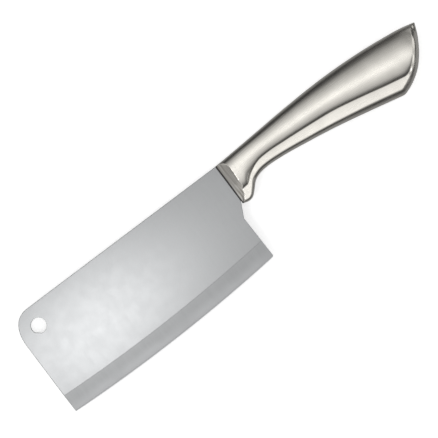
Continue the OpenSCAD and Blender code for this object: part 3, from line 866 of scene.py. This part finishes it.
for piece, node, slot in ((blade_plate, "blade", "blade_steel"),
                          (bolster_block, "bolster", "bolster_steel"),
                          (ring_run, "bolster_weld", "weld_metal"),
                          (left_shell, "handle_shell_left", "handle_steel"),
                          (right_shell, "handle_shell_right", "handle_steel"),
                          (seam_run, "seam_weld", "weld_metal")):
    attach(piece, "root")
    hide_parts(node)

# The fillets inside the handle keep their solids and only get their finish
tang_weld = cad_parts["tang_weld"]
tang_weld.data.materials.clear()
tang_weld.data.materials.append(bare_weld)

# Stage: floor, studio, lamps and camera

FLOOR_HALF, FLOOR_GAP = 6000.0, 0.2
FLOOR_WHITE = (0.9, 0.9, 0.9, 1)
WHITE = (1, 1, 1, 1)
FLOOR_GLOW = 0.6
# Brightness of the floor in reflections, from above and at a low angle, and the facing values
# between which it falls off
FLOOR_MIRRORED, FLOOR_MIRRORED_LOW = 0.3, 0.04
GRAZING_FROM, GRAZING_TO = 0.35, 0.8

# Brightness of the ceiling by angle from straight up, in degrees towards the cutting edge
CEILING = [(-95, 0.025), (-80, 0.028), (-66, 0.11), (-54, 0.3), (-40, 0.48), (-28, 0.62),
           (-18, 0.76), (-10, 0.95), (-4, 1.2), (4, 1.2), (10, 0.95), (18, 0.76), (28, 0.62),
           (40, 0.48), (54, 0.3), (66, 0.14), (80, 0.05), (95, 0.04)]
# The end walls go by the parts of a direction along the cleaver, across it and upwards. Part
# along at which they start and are full, and how far both are shifted to the front
WALL_START, WALL_FULL, WALL_SHIFT = 0.16, 0.42, 0.06
# Brightness of the front wall, and half width of the change to the wall behind the butt
FRONT_WALL, FRONT_STEP = 0.4, 0.3
# Wall behind the butt: its brightness below and above, and the heights between which it changes
BACK_LOW, BACK_HIGH = 0.05, 0.26
BACK_FROM, BACK_TO = 0.1, 0.7
# The panel up its middle, in the same way, and its half width where it is full and at its rim
PANEL_LOW, PANEL_HIGH = 0.85, 0.45
PANEL_FROM, PANEL_TO = 0.7, 0.96
PANEL_CORE, PANEL_RIM = 0.13, 0.27
# Slant (part along times part across) at which the corners start, at the front and behind the
# butt, and how much more makes them full
CORNER_START_FRONT, CORNER_START_BUTT, CORNER_SOFT = 0.13, 0.22, 0.18
# Brightness of the front corners and of that behind the butt on the spine's side
CORNER_FRONT, CORNER_SPINE = 0.8, 0.45
# The same on the edge's side, below and above a change of slant, and where that change lies
CORNER_EDGE, CORNER_EDGE_FULL = 0.22, 0.65
EDGE_FROM, EDGE_TO = 0.42, 0.48
# Half width of the change from one side of the studio to the other
SIDE_STEP = 0.1

BLADE_LAMP_AT, BLADE_LAMP_SIZE, BLADE_LAMP_RADIANCE = (3, -24, 270), (90, 60), 8.2
HANDLE_LAMP_AT, HANDLE_LAMP_SIZE, HANDLE_LAMP_RADIANCE = (250, 16, 1250), (330, 60), 1.5


def floor_finish():
    """White floor. The camera sees it lit from within and keeps its shadows; reflections see
    it at a dim brightness that falls off at low angles."""
    material, w = shader_tree("white_floor")
    ray = w.add("ShaderNodeLightPath").outputs
    grazing = w.add("ShaderNodeLayerWeight", Blend=0.5).outputs["Facing"]
    mirrored_level = w.ramp(grazing, GRAZING_FROM, GRAZING_TO, FLOOR_MIRRORED,
                            FLOOR_MIRRORED_LOW)
    matt = w.add("ShaderNodeBsdfDiffuse", Color=FLOOR_WHITE)
    glow = w.add("ShaderNodeEmission", Color=WHITE,
                 Strength=w.math("MULTIPLY", ray["Is Camera Ray"], FLOOR_GLOW))
    lit = w.add("ShaderNodeAddShader")
    w.tree.links.new(matt.outputs[0], lit.inputs[0])
    w.tree.links.new(glow.outputs[0], lit.inputs[1])
    mirrored_glow = w.add("ShaderNodeEmission", Color=WHITE, Strength=mirrored_level)
    both = w.add("ShaderNodeMixShader", Fac=ray["Is Glossy Ray"])
    w.tree.links.new(lit.outputs[0], both.inputs[1])
    w.tree.links.new(mirrored_glow.outputs[0], both.inputs[2])
    output = w.add("ShaderNodeOutputMaterial")
    w.tree.links.new(both.outputs[0], output.inputs["Surface"])
    material.cycles.emission_sampling = "NONE"
    return material


def ceiling_level(w, way):
    """Brightness of the ceiling, an arch from side to side over the cleaver."""
    angle = w.math("DIVIDE", w.math("ARCTAN2", w.math("MULTIPLY", way[1], -1.0), way[2]),
                   math.pi)
    share = w.math("ADD", w.math("MULTIPLY", angle, 0.5), 0.5)
    arch = w.add("ShaderNodeValToRGB", Fac=share)
    stops = arch.color_ramp.elements
    for degrees, value in CEILING:
        stop = stops.new(0.5 + degrees / 360)
        stop.color = (value, value, value, 1)
    stops.remove(stops[0])
    stops.remove(stops[-1])
    return arch.outputs[0]


def wall_level(w, way):
    """Brightness of the end walls: even at the front, and behind the butt brighter upwards
    with a soft panel up the middle. The corners between walls and sides have their own."""
    front = w.ramp(way[0], -FRONT_STEP, FRONT_STEP, 1.0, 0.0)
    panel = w.math("MULTIPLY", w.ramp(way[2], PANEL_FROM, PANEL_TO, PANEL_LOW, PANEL_HIGH),
                   w.ramp(w.math("ABSOLUTE", way[1]), PANEL_CORE, PANEL_RIM, 1.0, 0.0))
    back = w.math("ADD", panel, w.ramp(way[2], BACK_FROM, BACK_TO, BACK_LOW, BACK_HIGH))
    wall = w.math("ADD", w.math("MULTIPLY", front, FRONT_WALL),
                  w.math("MULTIPLY", w.math("SUBTRACT", 1.0, front), back))
    start = w.ramp(way[0], -SIDE_STEP, SIDE_STEP, CORNER_START_FRONT, CORNER_START_BUTT)
    slanting = w.math("ABSOLUTE", w.math("MULTIPLY", way[0], way[1]))
    corner = w.ramp(slanting, start, w.math("ADD", start, CORNER_SOFT))
    edge_side = w.ramp(slanting, EDGE_FROM, EDGE_TO, CORNER_EDGE, CORNER_EDGE_FULL)
    butt = w.ramp(way[1], -SIDE_STEP, SIDE_STEP, edge_side, CORNER_SPINE)
    level = w.ramp(way[0], -SIDE_STEP, SIDE_STEP, CORNER_FRONT, butt)
    return w.math("MAXIMUM", wall, w.math("MULTIPLY", corner, level))


def studio_world():
    """White to the camera. Everything else sees a ceiling that is bright overhead and dark at
    the sides, between two end walls."""
    world = bpy.data.worlds.new("studio")
    world.use_nodes = True
    world.node_tree.nodes.clear()
    w = Wiring(world.node_tree)
    ray = w.add("ShaderNodeLightPath").outputs
    way = w.add("ShaderNodeSeparateXYZ",
                Vector=w.add("ShaderNodeTexCoord").outputs["Generated"]).outputs
    along = w.math("ABSOLUTE", w.math("ADD", way[0], WALL_SHIFT))
    studio = w.add("ShaderNodeMix", Factor=w.ramp(along, WALL_START, WALL_FULL))
    w.set(studio.inputs[2], ceiling_level(w, way))
    w.set(studio.inputs[3], wall_level(w, way))
    plain = ray["Is Camera Ray"]
    hidden = w.math("SUBTRACT", 1.0, plain)
    strength = w.math("ADD", w.math("MULTIPLY", studio.outputs[0], hidden), plain)
    sky = w.add("ShaderNodeBackground", Color=WHITE, Strength=strength)
    output = w.add("ShaderNodeOutputWorld")
    w.tree.links.new(sky.outputs[0], output.inputs["Surface"])
    bpy.context.scene.world = world


def soft_lamp(name, place, size, radiance):
    """A rectangular lamp of that radiance at a place in millimetres, shining straight down."""
    data = bpy.data.lights.new(name, "AREA")
    data.shape = "RECTANGLE"
    data.size, data.size_y = size[0] * MM, size[1] * MM
    data.energy = radiance * math.pi * data.size * data.size_y
    lamp = bpy.data.objects.new(name, data)
    lamp.location = [v * MM for v in place]
    bpy.context.scene.collection.objects.link(lamp)
    return lamp


def floor_piece():
    """Large square floor just under the handle's lowest point."""
    height = -HALF_T - FLOOR_GAP
    corners = np.array([[-FLOOR_HALF, -FLOOR_HALF, height], [FLOOR_HALF, -FLOOR_HALF, height],
                        [FLOOR_HALF, FLOOR_HALF, height], [-FLOOR_HALF, FLOOR_HALF, height]])
    floor = steel_piece("floor", corners, [[[0, 1, 2, 3]]], floor_finish())


floor_piece()
studio_world()
blade_lamp = soft_lamp("blade_lamp", BLADE_LAMP_AT, BLADE_LAMP_SIZE, BLADE_LAMP_RADIANCE)
blade_lamp.visible_camera = False
soft_lamp("handle_lamp", HANDLE_LAMP_AT, HANDLE_LAMP_SIZE, HANDLE_LAMP_RADIANCE)

# Camera straight above the left face, turned so that the handle points up and to the right.
# Its frame is that wide at the height of the blade's plane
DISTANCE = 1200.0
FRAME_W = 258.4
MIDDLE = (122.7, -13.8)
RIGHT = (0.7988, -0.6017, 0.0)
UP = (0.6017, 0.7988, 0.0)
SENSOR_W = 36.0
NEAREST, FARTHEST = 0.05, 50.0
lens = bpy.data.cameras.new("camera")
lens.sensor_width = SENSOR_W
lens.lens = SENSOR_W * DISTANCE / FRAME_W
lens.clip_start, lens.clip_end = NEAREST, FARTHEST
camera = bpy.data.objects.new("camera", lens)
turn = Matrix(np.stack([RIGHT, UP, (0, 0, 1)], axis=1).tolist()).to_4x4()
camera.matrix_world = Matrix.Translation([MIDDLE[0] * MM, MIDDLE[1] * MM, DISTANCE * MM]) @ turn
bpy.context.scene.collection.objects.link(camera)
bpy.context.scene.camera = camera
bpy.context.scene.view_settings.view_transform = "Standard"
